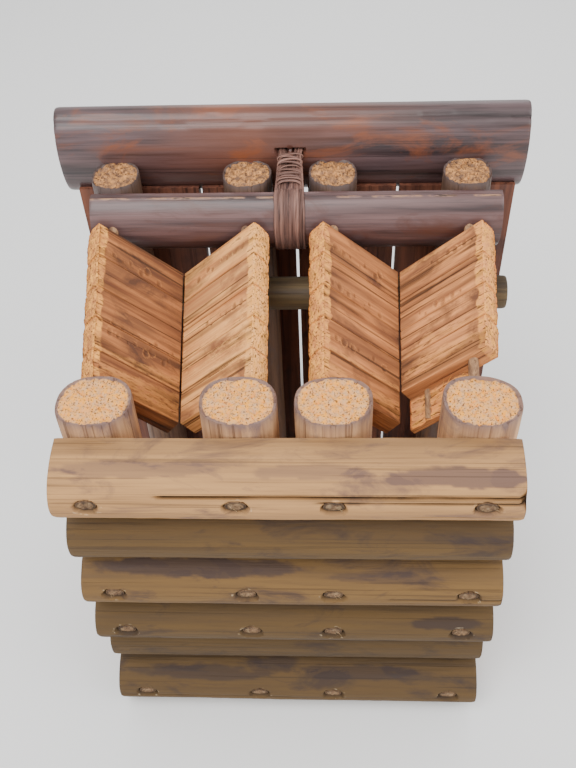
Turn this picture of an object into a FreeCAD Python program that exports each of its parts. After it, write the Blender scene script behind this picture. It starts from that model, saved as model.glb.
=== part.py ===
import FreeCAD, Part
import math
import os

# Open crate of solid poles with two V troughs made of four hinged, slatted leaves.
# +Z up, the front faces -Y, the origin is at the bottom centre of the bounding box. Millimetres.

# Overall driving dimensions
back_log_len = 418.0            # length of the back log, the widest piece
frame_depth = 336.5             # front of the pegged logs to the back of the back log
post_spacing_outer = 310.0      # distance between the two outer posts in a row
inner_post_gap = 10.0           # free space between the two inner front posts

# Front posts and the pegged front logs
front_post_w = 66.0             # oval section, left to right
front_post_d = 57.0             # oval section, front to back
post_above_logs = 13.0          # height of a front post above the top log
front_log_over = 29.0           # length of a front log beyond an outer post's centre
front_log_h = 64.0
front_log_gap = 1.1             # free height between two front logs
front_log_foot = 0.5            # free height under the lowest log
front_log_d = 51.5              # thickness from the flat back to the crown
front_log_recess = [0.0, 6.0, 0.0, 0.0, 17.0, 0.0]   # top log first
pegged_logs = [0, 2, 3, 5]      # logs whose pegs show on the face
seat_flat = 1.0                 # depth of the flat hewn on a post where a piece sits
peg_w = 17.0
peg_h = 10.0
peg_rise = 5.0                  # peg height above the log's centre line
peg_sunk = 2.0                  # how far a peg head sits below the log's crown
peg_in_post = 20.0
hidden_peg_r = 6.0
hidden_peg_in_log = 20.0

# Back row
back_post_r = 22.5
post_above_rail = 6.0           # height of a back post above the clamp rail
back_log_h = 83.5
back_log_d = 43.5
back_log_set = 19.0             # distance from the back posts' centres back to the back log's front
back_log_rise = 33.25           # height of the back log's centre above the clamp rail's middle
rail_h = 54.0
rail_below_rod = 7.68           # height of the hinge rods above the clamp rail's middle
rail_over_left = 19.0           # length of the clamp rail beyond an outer post's centre
rail_over_right = 28.0
rail_d = 21.5
rail_facet = 8.0                # width of the flat along the rail's top
board_shift = [-44.0, 12.2, 3.1, 0.8, 49.6]   # board edges from the posts and the middles between them
board_gap = 3.0
board_t = 11.5
board_bottom = 4.0
board_below_rail = 24.0         # height of the clamp rail's top above the boards
board_peg_heights = [110.0, 330.0]
board_peg_in_post = 15.0
round_peg_r = 4.0
log_peg_drop = 11.0             # height of the back log's centre above its pegs
log_peg_in_post = 12.0
log_peg_in_log = 10.0           # how far those pegs pass the back log's centre
bearer_r = 15.5
bearer_over_left = 27.0         # length of the bearer beyond an outer post's centre
bearer_over_right = 40.0
bearer_gap = 6.0                # free space between the bearer and the back posts
bearer_peg_blind = 4.0          # wood left in front of a bearer peg
bearer_peg_in_post = 14.0
tie_r = 9.0
tie_height = 60.0
tie_in_front_post = 20.0
tie_in_back_post = 15.0

# Leaves, hinge rods and their fits
leaf_slope = 40.4               # slope of a leaf towards its valley
leaf_rise = 32.5                # climb of a leaf and its rod from front to back
leaf_t = 19.0                   # thickness measured in the upright plank section
leaf_front_gap = 2.0            # free space between the front posts' backs and a leaf
leaf_rail_gap = 6.0             # free space between a leaf and the clamp rail, for the lift and the cane
leaf_tail = 21.9                # leaf length beyond the rod, measured down the slope
valley_gap = 1.0                # free space between two leaves along a valley
plank_count = 5
plank_gap = 0.6
rod_r = 4.5
rod_clear = 0.1                 # radial running clearance between a rod and its leaf
rod_drop = 27.5                 # rod centre below a front post's top at the post's back face
rod_blind = 20.0                # depth of a rod in its front post, along y
rod_blind_back = 12.0           # depth of a rod in its back post, along y
rest_gap = 0.4                  # free space between a leaf at rest and the bearer
tie_dowel_r = 3.0
tie_dowel_above = 4.5           # dowel centre above a leaf's lower face
tie_dowel_from_valley = 18.0
tie_dowel_blind = 3.0           # wood left at each end of a dowel
torn_share = 0.6                # share of the thickness torn off the broken plank
# Broken plank: distance past the rod's edge, and height of the tear above or below its mean level
torn_profile = [(3.0, None), (5.0, 3.6), (17.0, 1.2), (29.0, 2.2), (36.0, 0.2), (51.0, 1.0)]

# Lashing of split cane round the clamp rail and through the back log
cane_w = 2.2
cane_t = 1.8
cane_pitch = 2.4
cane_group = 4
cane_group_gap = 5.0
cane_ease = 0.5                 # space between the cane and the wood it goes round
cane_hole_rise = 7.75           # height of the cane's holes above the back log's centre
cane_hole_clear = 0.3
cane_mouth = 3.0                # distance from the back log where the two runs of a loop meet
cane_notch_side = 3.0           # free space beside the cane in the boards' notch
cane_notch_below = 6.0          # depth of the notch under the clamp rail's lower edge
turn_count = 4
turn_start = 12.0               # distance of the first turn behind the clamp rail
turn_gap = 0.2
turn_clear = 0.3
turn_room = 0.6                 # free height kept above and below the strands in a turn
cut_room = 60.0                 # reach of a cutting shape past the wood that it cuts

# Derived positions. y counts from the crate's front face and is shifted on export.
log_count = len(front_log_recess)
front_log_len = post_spacing_outer + 2 * front_log_over
front_log_pitch = front_log_h + front_log_gap
front_post_top = front_log_foot + front_log_pitch * (log_count - 1) + front_log_h + post_above_logs
post_spacing_inner = front_post_w + inner_post_gap
rod_depth = leaf_t / 2.0
tie_dowel_depth = leaf_t - tie_dowel_above
depth_all = frame_depth + cane_ease + cane_t
y_shift = -depth_all / 2.0
post_x = [-post_spacing_outer / 2.0, -post_spacing_inner / 2.0,
          post_spacing_inner / 2.0, post_spacing_outer / 2.0]
log_back_y = front_log_d
front_row_y = log_back_y - seat_flat + front_post_d / 2.0
front_posts_back_y = front_row_y + front_post_d / 2.0
back_row_y = frame_depth - back_log_d - back_log_set
rail_back_y = back_row_y - back_post_r + seat_flat
rail_front_y = rail_back_y - rail_d
board_front_y = back_row_y + back_post_r - seat_flat
back_log_y = frame_depth - back_log_d / 2.0

slope = math.radians(leaf_slope)
rise = math.tan(math.radians(leaf_rise))
rod_dir = FreeCAD.Vector(0, math.cos(math.radians(leaf_rise)), math.sin(math.radians(leaf_rise)))
leaf_y0 = front_posts_back_y + leaf_front_gap
leaf_y1 = rail_front_y - leaf_rail_gap
# The reach is the run from a rod to its valley, so the leaf length follows from the post spacing.
reach = (post_x[3] - post_x[2]) / 2.0 - valley_gap / 2.0
tail_run = leaf_tail * math.cos(slope) - rod_depth * math.sin(slope)
leaf_len = (reach + tail_run) / math.cos(slope)


def rod_z(y):
    """Height of every hinge rod's centre at the distance y from the crate's front."""
    return front_post_top - rod_drop + rise * (y - front_posts_back_y)


rail_mid = rod_z((rail_front_y + rail_back_y) / 2.0) - rail_below_rod
rail_top = rail_mid + rail_h / 2.0
rail_bottom = rail_mid - rail_h / 2.0
rail_left = post_x[0] - rail_over_left
rail_right = post_x[3] + rail_over_right
back_post_top = rail_top + post_above_rail
back_log_z = rail_mid + back_log_rise
board_top = rail_top - board_below_rail
cane_hole_z = back_log_z + cane_hole_rise


def at_s(x, y, s, depth, side):
    """Point of a leaf section: s down the slope from the ridge, depth below the upper face."""
    along = s - leaf_tail
    below = depth - rod_depth
    dx = side * (along * math.cos(slope) - below * math.sin(slope))
    dz = -along * math.sin(slope) - below * math.cos(slope)
    return FreeCAD.Vector(x + dx, y, rod_z(y) + dz)


def prism(points, vector):
    """Solid swept from a closed polygon along a vector."""
    return Part.Face(Part.makePolygon(points + [points[0]])).extrude(vector)


def cylinder_y(r, x, y0, y1, z):
    """Round bar along y."""
    return Part.makeCylinder(r, y1 - y0, FreeCAD.Vector(x, y0, z), FreeCAD.Vector(0, 1, 0))


def oval(a, b, centre, normal, major):
    """Elliptical face with half sizes a along major and b across it."""
    big, small, first = a, b, major
    if b > a:
        big, small, first = b, a, normal.cross(major)
    curve = Part.Ellipse(FreeCAD.Vector(0, 0, 0), big, small).toShape()
    turn = FreeCAD.Rotation(first, normal.cross(first), normal, "XZY")
    curve.Placement = FreeCAD.Placement(centre, turn)
    return Part.Face(Part.Wire(curve))


def oval_bar(a, b, start, vector, major):
    """Bar of elliptical section along a vector."""
    normal = FreeCAD.Vector(vector).normalize()
    return oval(a, b, start, normal, major).extrude(vector)


X = FreeCAD.Vector(1, 0, 0)
Y = FreeCAD.Vector(0, 1, 0)
Z = FreeCAD.Vector(0, 0, 1)
nodes = {}


def front_log(k):
    """Half-round log with its flat back on the posts and its crown to the front."""
    z = front_log_centre(k)
    thick = front_log_d - front_log_recess[k]
    points = []
    for n in range(13):
        a = math.radians(15.0 * n - 90.0)
        points.append(FreeCAD.Vector(-front_log_len / 2.0, log_back_y - thick * math.cos(a),
                                     z + front_log_h / 2.0 * math.sin(a)))
    crown_curve = Part.BSplineCurve()
    crown_curve.interpolate(points)
    outline = Part.Wire([crown_curve.toShape(), Part.makeLine(points[-1], points[0])])
    return Part.Face(outline).extrude(X * front_log_len)


def front_log_centre(k):
    """Height of a front log's centre line; log 0 is the top one."""
    return front_log_foot + front_log_h / 2.0 + front_log_pitch * (log_count - 1 - k)


# Front posts, front logs and the two kinds of peg
posts = []
for x in post_x:
    bar = oval_bar(front_post_w / 2.0, front_post_d / 2.0, FreeCAD.Vector(x, front_row_y, 0),
                   Z * front_post_top, X)
    top_seat = front_log_centre(0) + front_log_h / 2.0
    flat = Part.makeBox(front_post_w, cut_room, top_seat,
                        FreeCAD.Vector(x - front_post_w / 2.0, log_back_y - cut_room, 0))
    posts.append(bar.cut(flat))

logs = [front_log(k) for k in range(len(front_log_recess))]
face_pegs = []
blind_pegs = []
for k in range(len(logs)):
    for i, x in enumerate(post_x):
        if k in pegged_logs:
            z = front_log_centre(k) + peg_rise
            start = FreeCAD.Vector(x, peg_sunk, z)
            length = log_back_y + peg_in_post - peg_sunk
            peg = oval_bar(peg_w / 2.0, peg_h / 2.0, start, Y * length, X)
            hole = oval_bar(peg_w / 2.0, peg_h / 2.0, start - Y * cut_room, Y * (length + cut_room), X)
            face_pegs.append(peg)
        else:
            z = front_log_centre(k)
            peg = cylinder_y(hidden_peg_r, x, log_back_y - hidden_peg_in_log, log_back_y + peg_in_post, z)
            hole = peg
            blind_pegs.append(peg)
        logs[k] = logs[k].cut(hole)
        posts[i] = posts[i].cut(hole)

# Back posts, back log, boards, clamp rail and bearer
back_log = oval_bar(back_log_d / 2.0, back_log_h / 2.0,
                    FreeCAD.Vector(-back_log_len / 2.0, back_log_y, back_log_z), X * back_log_len, Y)
bearer_y = rail_back_y - bearer_gap - bearer_r
corner = at_s(0, leaf_y1, leaf_len, leaf_t, 1)
line_z = corner.z + rise * (bearer_y - leaf_y1)
bearer_z = line_z - (bearer_r + rest_gap) / rod_dir.y
bearer_start = FreeCAD.Vector(post_x[0] - bearer_over_left, bearer_y, bearer_z)
bearer_len = post_spacing_outer + bearer_over_left + bearer_over_right
bearer = Part.makeCylinder(bearer_r, bearer_len, bearer_start, X)

back_posts = []
for x in post_x:
    bar = Part.makeCylinder(back_post_r, back_post_top, FreeCAD.Vector(x, back_row_y, 0))
    front = Part.makeBox(2 * cut_room, cut_room, back_post_top,
                         FreeCAD.Vector(x - cut_room, rail_back_y - cut_room, 0))
    rear = Part.makeBox(2 * cut_room, cut_room, back_post_top,
                        FreeCAD.Vector(x - cut_room, board_front_y, 0))
    back_posts.append(bar.cut(front).cut(rear).cut(back_log))

front_top = FreeCAD.Vector(rail_left, rail_back_y - rail_facet, rail_top)
front_low = FreeCAD.Vector(rail_left, rail_back_y - rail_facet, rail_bottom)
crown = FreeCAD.Vector(rail_left, rail_front_y, rail_mid)
back_low = FreeCAD.Vector(rail_left, rail_back_y, rail_bottom)
back_high = FreeCAD.Vector(rail_left, rail_back_y, rail_top)
rail_edges = [Part.Arc(front_top, crown, front_low).toShape(), Part.makeLine(front_low, back_low),
              Part.makeLine(back_low, back_high), Part.makeLine(back_high, front_top)]
rail = Part.Face(Part.Wire(rail_edges)).extrude(X * (rail_right - rail_left))

cane_x = []
group_w = cane_pitch * (cane_group - 1) + cane_w
for side in (-1, 1):
    for i in range(cane_group):
        cane_x.append(side * (cane_group_gap / 2.0 + cane_w / 2.0 + i * cane_pitch))
notch_half = cane_group_gap / 2.0 + group_w + cane_notch_side
board_base = [post_x[0], (post_x[0] + post_x[1]) / 2.0, 0.0, (post_x[2] + post_x[3]) / 2.0, post_x[3]]
board_edges = [base + shift for base, shift in zip(board_base, board_shift)]
boards = []
board_pegs = []
for i, x in enumerate(post_x):
    x0 = board_edges[i] + board_gap / 2.0
    x1 = board_edges[i + 1] - board_gap / 2.0
    board = Part.makeBox(x1 - x0, board_t, board_top - board_bottom,
                         FreeCAD.Vector(x0, board_front_y, board_bottom))
    notch = Part.makeBox(2 * notch_half, board_t, cut_room,
                         FreeCAD.Vector(-notch_half, board_front_y, rail_bottom - cane_notch_below))
    board = board.cut(back_log).cut(notch)
    for z in board_peg_heights:
        peg = cylinder_y(round_peg_r, x, board_front_y - board_peg_in_post, board_front_y + board_t, z)
        board = board.cut(peg)
        back_posts[i] = back_posts[i].cut(peg)
        board_pegs.append(peg)
    boards.append(board)

back_log_pegs = []
bearer_pegs = []
for i, x in enumerate(post_x):
    peg = cylinder_y(round_peg_r, x, board_front_y - log_peg_in_post, back_log_y + log_peg_in_log,
                     back_log_z - log_peg_drop)
    back_log_pegs.append(peg)
    back_log = back_log.cut(peg)
    back_posts[i] = back_posts[i].cut(peg)
    peg = cylinder_y(round_peg_r, x, bearer_y - bearer_r + bearer_peg_blind,
                     rail_back_y + bearer_peg_in_post, bearer_z)
    bearer_pegs.append(peg)
    bearer = bearer.cut(peg)
    back_posts[i] = back_posts[i].cut(peg)

# Hinge rods: blind in the front post, through the leaf and the clamp rail, blind in the back post
rods = []
for i, x in enumerate(post_x):
    y0 = front_posts_back_y - rod_blind
    y1 = rail_back_y + rod_blind_back
    start = FreeCAD.Vector(x, y0, rod_z(y0))
    rod = Part.makeCylinder(rod_r, (y1 - y0) / rod_dir.y, start, rod_dir)
    rods.append(rod)
    posts[i] = posts[i].cut(rod)
    rail = rail.cut(rod)
    back_posts[i] = back_posts[i].cut(rod)

# Lower ties between the outer posts
ties = []
for i in (0, 3):
    tie = cylinder_y(tie_r, post_x[i], front_posts_back_y - tie_in_front_post,
                     back_row_y - back_post_r + tie_in_back_post, tie_height)
    ties.append(tie)
    posts[i] = posts[i].cut(tie)
    back_posts[i] = back_posts[i].cut(tie)


def torn_polygon(x, y, side):
    """Section of the broken plank: a low sliver that tapers out before the rod."""
    deep = leaf_t * torn_share
    marks = [(leaf_len, deep - 1.0), (leaf_len, leaf_t)]
    for past, height in reversed(torn_profile):
        marks.insert(0, (leaf_tail + rod_r + past, leaf_t if height is None else deep + height))
    return [at_s(x, y, s, depth, side) for s, depth in marks]


# Leaves: upright plank sections swept along the rod's direction, all on one hinge rod each
for i, x in enumerate(post_x):
    side = 1 if i % 2 == 0 else -1
    bore_start = FreeCAD.Vector(x, leaf_y0 - cut_room, rod_z(leaf_y0 - cut_room))
    bore_len = (leaf_y1 - leaf_y0 + 2 * cut_room) / rod_dir.y
    bore = Part.makeCylinder(rod_r + rod_clear, bore_len, bore_start, rod_dir)
    s_tie = leaf_len - tie_dowel_from_valley
    dowel_start = at_s(x, leaf_y0 + tie_dowel_blind, s_tie, tie_dowel_depth, side)
    dowel_len = (leaf_y1 - leaf_y0 - 2 * tie_dowel_blind) / rod_dir.y
    dowel = Part.makeCylinder(tie_dowel_r, dowel_len, dowel_start, rod_dir)
    width = (leaf_y1 - leaf_y0 - plank_gap * (plank_count - 1)) / plank_count
    for p in range(plank_count):
        y = leaf_y0 + p * (width + plank_gap)
        if i == 3 and p == 0:
            points = torn_polygon(x, y, side)
        else:
            points = [at_s(x, y, s, depth, side) for s, depth in
                      ((0, 0), (leaf_len, 0), (leaf_len, leaf_t), (0, leaf_t))]
        plank = prism(points, FreeCAD.Vector(0, width, width * rise))
        nodes["leaf_%d_plank_%d" % (i + 1, p + 1)] = plank.cut(bore).cut(dowel)
    nodes["leaf_%d_tie_dowel" % (i + 1)] = dowel


def cane_loop(gap):
    """Closed outline of one cane loop, gap outside the rail and the back log."""
    pts = []
    arc = Part.Arc(front_top, crown, front_low).toShape()
    mid = arc.Curve.Center
    for p in arc.discretize(9):
        out = (p - mid).normalize()
        pts.append((p.y + gap * out.y, p.z + gap * out.z))
    pts.append((rail_back_y - 1.0, rail_bottom - gap))
    for n in range(19):
        a = math.radians(-115.0 + 7.0 * n)
        ny = math.cos(a) / (back_log_d / 2.0)
        nz = math.sin(a) / (back_log_h / 2.0)
        size = math.hypot(ny, nz)
        pts.append((back_log_y + back_log_d / 2.0 * math.cos(a) + gap * ny / size,
                    back_log_z + back_log_h / 2.0 * math.sin(a) + gap * nz / size))
    return pts


# Each cane loop is a flat strip: outer outline less inner outline, one strip wide in x
inner = cane_loop(cane_ease)
outer = cane_loop(cane_ease + cane_t)
hole_z0 = cane_hole_z - cane_t / 2.0
mouth_y = back_log_y - back_log_d / 2.0 - cane_mouth
strands = []
for x in cane_x:
    outer_pts = [FreeCAD.Vector(x - cane_w / 2.0, p[0], p[1]) for p in outer[:-1]]
    inner_pts = [FreeCAD.Vector(x - cane_w / 2.0, p[0], p[1]) for p in inner[:-1]]
    top_back = FreeCAD.Vector(x - cane_w / 2.0, outer[-1][0], hole_z0 + cane_t)
    top_in = FreeCAD.Vector(x - cane_w / 2.0, inner[-1][0], hole_z0)
    rail_lip = FreeCAD.Vector(x - cane_w / 2.0, rail_back_y, rail_top + cane_ease + cane_t)
    lip_in = FreeCAD.Vector(x - cane_w / 2.0, rail_back_y, rail_top + cane_ease)
    mouth = FreeCAD.Vector(x - cane_w / 2.0, mouth_y, hole_z0 + cane_t)
    mouth_in = FreeCAD.Vector(x - cane_w / 2.0, mouth_y, hole_z0)
    ring = Part.Face(Part.makePolygon([mouth, rail_lip] + outer_pts + [top_back, mouth]))
    hollow = Part.Face(Part.makePolygon([mouth_in, lip_in] + inner_pts + [top_in, mouth_in]))
    strands.append(ring.cut(hollow).extrude(X * cane_w))

for side in (-1, 1):
    x0 = side * (cane_group_gap / 2.0 + group_w / 2.0)
    corner_x = x0 - group_w / 2.0 - cane_hole_clear
    hole = Part.makeBox(group_w + 2 * cane_hole_clear, 2 * cut_room, cane_t + 2 * cane_hole_clear,
                        FreeCAD.Vector(corner_x, back_log_y - cut_room, hole_z0 - cane_hole_clear))
    back_log = back_log.cut(hole)

# Each turn is a flat ring round the upper runs of all the loops
turns = []
half = cane_group_gap / 2.0 + group_w + turn_clear
climb = (hole_z0 - rail_top - cane_ease) / (mouth_y - rail_back_y)
slack = turn_clear + 0.5 * cane_w * climb
ring_h = cane_t + 2 * (slack + turn_room)
for n in range(turn_count):
    y = rail_back_y + turn_start + n * (cane_w + turn_gap)
    low = rail_top + cane_ease + climb * (y - rail_back_y) - slack - turn_room
    big = Part.makeBox(2 * (half + cane_t), cane_w, ring_h + 2 * cane_t,
                       FreeCAD.Vector(-half - cane_t, y - cane_w / 2.0, low - cane_t))
    inside = Part.makeBox(2 * half, cane_w, ring_h, FreeCAD.Vector(-half, y - cane_w / 2.0, low))
    turns.append(big.cut(inside))

for i in range(4):
    nodes["front_post_%d" % (i + 1)] = posts[i]
    nodes["back_post_%d" % (i + 1)] = back_posts[i]
    nodes["back_board_%d" % (i + 1)] = boards[i]
    nodes["hinge_rod_%d" % (i + 1)] = rods[i]
for k in range(len(logs)):
    nodes["front_log_%d" % (k + 1)] = logs[k]
nodes["front_pegs"] = Part.makeCompound(face_pegs)
nodes["hidden_pegs"] = Part.makeCompound(blind_pegs)
nodes["board_pegs"] = Part.makeCompound(board_pegs)
nodes["back_log_pegs"] = Part.makeCompound(back_log_pegs)
nodes["bearer_pegs"] = Part.makeCompound(bearer_pegs)
nodes["lashing_strands"] = Part.makeCompound(strands)
nodes["lashing_turns"] = Part.makeCompound(turns)
nodes["back_log"] = back_log
nodes["clamp_rail"] = rail
nodes["bearer"] = bearer
nodes["lower_tie_1"] = ties[0]
nodes["lower_tie_2"] = ties[1]

os.makedirs("parts", exist_ok=True)
for name in sorted(nodes):
    shape = nodes[name].copy()
    shape.translate(FreeCAD.Vector(0, y_shift, 0))
    shape.exportStep("parts/%s.step" % name)
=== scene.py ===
import math
import bpy
import numpy as np
from mathutils import Matrix, Vector


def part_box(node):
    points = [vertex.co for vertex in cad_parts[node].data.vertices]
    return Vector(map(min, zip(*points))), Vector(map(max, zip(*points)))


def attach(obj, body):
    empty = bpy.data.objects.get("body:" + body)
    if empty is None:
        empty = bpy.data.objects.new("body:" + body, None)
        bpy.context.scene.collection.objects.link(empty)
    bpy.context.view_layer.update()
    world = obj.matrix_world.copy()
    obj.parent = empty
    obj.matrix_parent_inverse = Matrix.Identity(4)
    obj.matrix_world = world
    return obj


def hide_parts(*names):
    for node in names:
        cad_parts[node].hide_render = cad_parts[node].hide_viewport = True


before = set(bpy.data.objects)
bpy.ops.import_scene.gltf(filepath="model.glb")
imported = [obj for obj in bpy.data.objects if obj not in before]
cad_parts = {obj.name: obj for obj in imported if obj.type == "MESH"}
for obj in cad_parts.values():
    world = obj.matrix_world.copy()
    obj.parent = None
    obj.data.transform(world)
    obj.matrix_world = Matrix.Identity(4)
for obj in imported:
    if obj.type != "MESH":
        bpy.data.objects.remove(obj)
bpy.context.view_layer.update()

# Camera: stands in front of the crate, a little to the right, and looks down into the troughs.
CAMERA_AT = (0.0358, -0.5686, 0.9249)
LOOK_DOWN = math.radians(46.4)
TURN = math.radians(-3.99)
ROLL = math.radians(2.94)
LENS = 41.8

ahead = Vector((math.sin(TURN) * math.cos(LOOK_DOWN), math.cos(TURN) * math.cos(LOOK_DOWN),
                -math.sin(LOOK_DOWN)))
level = Vector((math.cos(TURN), -math.sin(TURN), 0.0))
below = ahead.cross(level)
right = math.cos(ROLL) * level + math.sin(ROLL) * below
down = -math.sin(ROLL) * level + math.cos(ROLL) * below
camera_data = bpy.data.cameras.new("camera")
camera_data.lens = LENS
camera = bpy.data.objects.new("camera", camera_data)
turned = Matrix((right, -down, -ahead)).transposed().to_4x4()
camera.matrix_world = Matrix.Translation(CAMERA_AT) @ turned
bpy.context.scene.collection.objects.link(camera)
bpy.context.scene.camera = camera

# Studio: a plain pale floor, one wide soft light above the front, a weaker fill from the right
# and an even pale surround.
FLOOR_COLOUR = (0.93, 0.93, 0.925, 1.0)
SURROUND = (1.0, 1.0, 1.0, 1.0)
SURROUND_STRENGTH = 1.0


def soft_light(name, place, size, power):
    """Square area light at a place, turned to face the middle of the crate."""
    light = bpy.data.lights.new(name, "AREA")
    light.size = size
    light.energy = power
    obj = bpy.data.objects.new(name, light)
    aim = Vector((0.0, 0.0, 0.25)) - Vector(place)
    obj.rotation_euler = aim.to_track_quat("-Z", "Y").to_euler()
    obj.location = place
    bpy.context.scene.collection.objects.link(obj)


soft_light("key_light", (-0.5, -0.9, 1.9), 1.3, 32.0)
soft_light("fill_light", (1.3, -0.6, 1.2), 1.2, 11.0)
soft_light("back_light", (0.2, 1.6, 1.5), 1.4, 10.0)
world = bpy.data.worlds.new("surround")
world.use_nodes = True
world.node_tree.nodes["Background"].inputs["Color"].default_value = SURROUND
world.node_tree.nodes["Background"].inputs["Strength"].default_value = SURROUND_STRENGTH
bpy.context.scene.world = world
bpy.ops.mesh.primitive_plane_add(size=14.0)
floor = bpy.context.object
floor.name = "floor"
floor_finish = bpy.data.materials.new("floor_finish")
floor_finish.use_nodes = True
floor_finish.node_tree.nodes["Principled BSDF"].inputs["Base Color"].default_value = FLOOR_COLOUR
floor_finish.node_tree.nodes["Principled BSDF"].inputs["Roughness"].default_value = 0.9
floor.data.materials.append(floor_finish)

# Front posts: four thick, solid, oval poles with a grey-mauve skin and a pale pith full of dark
# fibre ends. Their sawn tops show, and the front logs are pegged to a flat hewn on each front.
POST_COLUMNS = 96
PITH_RINGS = (0.97, 0.92, 0.86, 0.78, 0.69, 0.6, 0.5, 0.4, 0.3, 0.2, 0.1)


def noise(x, y, seed):
    """Value noise, 0 to 1: a scrambled value at each whole-number point, blended by 3t^2 - 2t^3."""
    xi, yi = np.floor(x), np.floor(y)
    fx, fy = x - xi, y - yi
    fx, fy = fx * fx * (3 - 2 * fx), fy * fy * (3 - 2 * fy)

    def value(a, b):
        return np.modf(np.abs(np.sin(a * 12.9898 + b * 78.233 + seed * 37.719) * 43758.5453))[0]

    near = value(xi, yi) * (1 - fx) + value(xi + 1, yi) * fx
    far = value(xi, yi + 1) * (1 - fx) + value(xi + 1, yi + 1) * fx
    return near * (1 - fy) + far * fy


def rough(x, y, seed):
    """Fractal noise, about -0.5 to 0.5: four octaves of noise, each half as strong as the last."""
    return sum(noise(x * 2 ** k, y * 2 ** k, seed + k) / 2 ** k for k in range(4)) / 1.875 - 0.5


def step(low, high, x):
    """Smooth step: 0 below low, 1 above high, 3t^2 - 2t^3 between."""
    t = np.clip((x - low) / (high - low), 0.0, 1.0)
    return t * t * (3 - 2 * t)


def bar(stations, outline, rings=PITH_RINGS):
    """Closed bar: the outline at each station, and each end closed by rings that shrink to its middle.

    Returns along, the two section coordinates, the outward section normal, the end (-1, 0 or 1)
    and the ring (1 on the sides), all as rows by columns.
    """
    rings = np.array(rings)
    mid = outline.mean(axis=1, keepdims=True)
    first = mid[:1] + rings[::-1, None, None] * (outline[:1] - mid[:1])
    last = mid[-1:] + rings[:, None, None] * (outline[-1:] - mid[-1:])
    section = np.concatenate([first, outline, last])
    k, n, c = len(rings), len(stations), outline.shape[1]
    along = np.concatenate([np.full(k, stations[0]), stations, np.full(k, stations[-1])])
    end = np.concatenate([-np.ones(k), np.zeros(n), np.ones(k)])
    ring = np.concatenate([rings[::-1], np.ones(n), rings])
    run = np.roll(section, -1, axis=1) - np.roll(section, 1, axis=1)
    run /= np.maximum(np.linalg.norm(run, axis=2, keepdims=True), 1e-9)
    following = np.roll(outline[0], -1, axis=0)
    area = (outline[0][:, 0] * following[:, 1] - following[:, 0] * outline[0][:, 1]).sum()
    normal = np.sign(area) * np.stack([run[..., 1], -run[..., 0]], axis=2)
    wide = np.ones((1, c))
    return {"along": along[:, None] * wide, "section": section, "normal": normal,
            "end": end[:, None] * wide, "ring": ring[:, None] * wide}


def placed(form, push, origin, axes):
    """Points of a bar: origin + along U + a A + b B, with push outwards on sides and ends."""
    u, a, b = (np.array(axis, float) for axis in axes)
    side = (form["end"] == 0)
    section = form["section"] + form["normal"] * np.where(side, push, 0.0)[..., None]
    along = form["along"] + form["end"] * np.where(side, 0.0, push)
    return (np.array(origin, float) + along[..., None] * u + section[..., :1] * a
            + section[..., 1:] * b)


def build(name, skins, material, body, nodes=()):
    """Object from closed skins (points, grain, tone): quads between rows, fans at the two poles."""
    points, grains, tones, faces, start = [], [], [], [], 0
    for xyz, grain, tone in skins:
        rows, cols = xyz.shape[:2]
        stack = [np.concatenate([v[0].mean(axis=0)[None], v.reshape(-1, 3), v[-1].mean(axis=0)[None]])
                 for v in (xyz, grain, tone)]
        index = 1 + np.arange(rows * cols).reshape(rows, cols)
        turn = np.roll(index, -1, axis=1)
        quads = np.stack([index[:-1], turn[:-1], turn[1:], index[1:]], axis=2).reshape(-1, 4)
        low = np.stack([np.zeros(cols, int), turn[0], index[0]], axis=1)
        high = np.stack([np.full(cols, rows * cols + 1), index[-1], turn[-1]], axis=1)
        p = stack[0]
        q = p[quads]
        volume = (np.einsum("ij,ij->i", q[:, 0], np.cross(q[:, 1], q[:, 2])).sum()
                  + np.einsum("ij,ij->i", q[:, 0], np.cross(q[:, 2], q[:, 3])).sum())
        flip = -1 if volume < 0 else 1
        faces += (quads[:, ::flip] + start).tolist()
        faces += (low[:, ::flip] + start).tolist() + (high[:, ::flip] + start).tolist()
        points.append(p)
        grains.append(stack[1])
        tones.append(stack[2])
        start += len(p)
    mesh = bpy.data.meshes.new(name)
    mesh.from_pydata(np.concatenate(points).tolist(), [], faces)
    for label, values in (("grain", grains), ("tone", tones)):
        layer = mesh.attributes.new(label, "FLOAT_VECTOR", "POINT")
        layer.data.foreach_set("vector", np.concatenate(values).astype(np.float32).ravel())
    mesh.materials.append(material)
    mesh.shade_smooth()
    mesh.set_sharp_from_angle(angle=math.radians(48))
    obj = bpy.data.objects.new(name, mesh)
    bpy.context.scene.collection.objects.link(obj)
    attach(obj, body)
    if nodes:
        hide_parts(*nodes)
    return obj


def add(tree, kind, settings=(), **inputs):
    """New shader node with its settings, and its inputs set to a value or linked to a socket."""
    made = tree.nodes.new("ShaderNode" + kind)
    for key, value in dict(settings).items():
        setattr(made, key, value)
    for key, value in inputs.items():
        socket = made.inputs[int(key[1:])] if key[0] == "i" and key[1:].isdigit() else made.inputs[key]
        if isinstance(value, bpy.types.NodeSocket):
            tree.links.new(value, socket)
        else:
            socket.default_value = value
    return made


def mixed(tree, factor, one, two):
    """Colour between one and two by factor."""
    made = add(tree, "Mix", {"data_type": "RGBA"}, i0=factor, i6=one, i7=two)
    return made.outputs[2]


def span(tree, value, low, high, out_low=0.0, out_high=1.0):
    """Value moved from the range low..high to out_low..out_high, clamped."""
    made = add(tree, "MapRange", {}, i0=value, i1=low, i2=high, i3=out_low, i4=out_high)
    return made.outputs[0]


def speckle(tree, vector, scale, detail=5.0, roughness=0.6, distortion=0.0):
    """Noise pattern on a stretched copy of the vector."""
    spread = add(tree, "Mapping", {}, Vector=vector, Scale=scale).outputs[0]
    return add(tree, "TexNoise", {}, Vector=spread, Scale=1.0, Detail=detail, Roughness=roughness,
               Distortion=distortion).outputs[0]


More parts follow.
